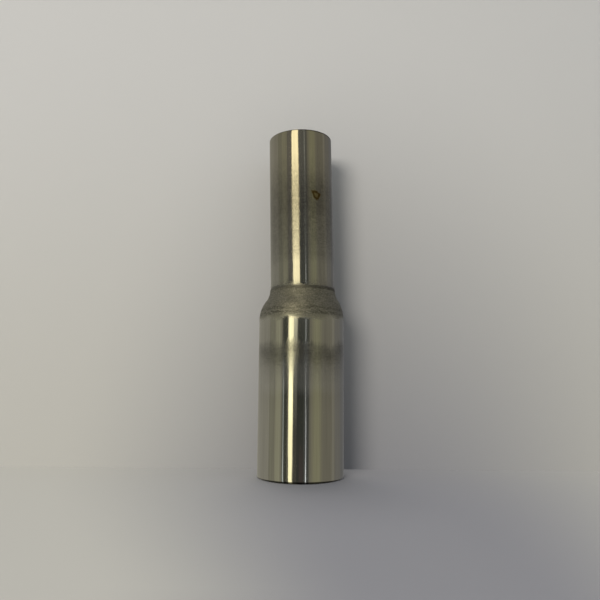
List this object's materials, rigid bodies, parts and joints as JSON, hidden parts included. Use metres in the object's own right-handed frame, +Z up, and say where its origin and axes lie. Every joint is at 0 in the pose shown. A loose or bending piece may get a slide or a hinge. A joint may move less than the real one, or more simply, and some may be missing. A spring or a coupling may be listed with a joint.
{
  "type": "hose reducer",
  "caption": "Straight stainless steel hose reducer: a round tube swaged down at mid-length, with a plain open spigot at each end.",
  "frame": {"origin": "centre of the large end's face, on the surface that the reducer stands on", "axes": "+Z up the large tube's axis, from the large end towards the small end; +X is the side away from which the small tube leans"},
  "size_m": [0.025, 0.025, 0.101],
  "materials": {
    "stainless": "drawn tube, part polished, with fine draw lines, a matte granular shoulder and brown handling bands"
  },
  "bodies": {
    "root": {"reducer_tube": "stainless"}
  },
  "joints": []
}
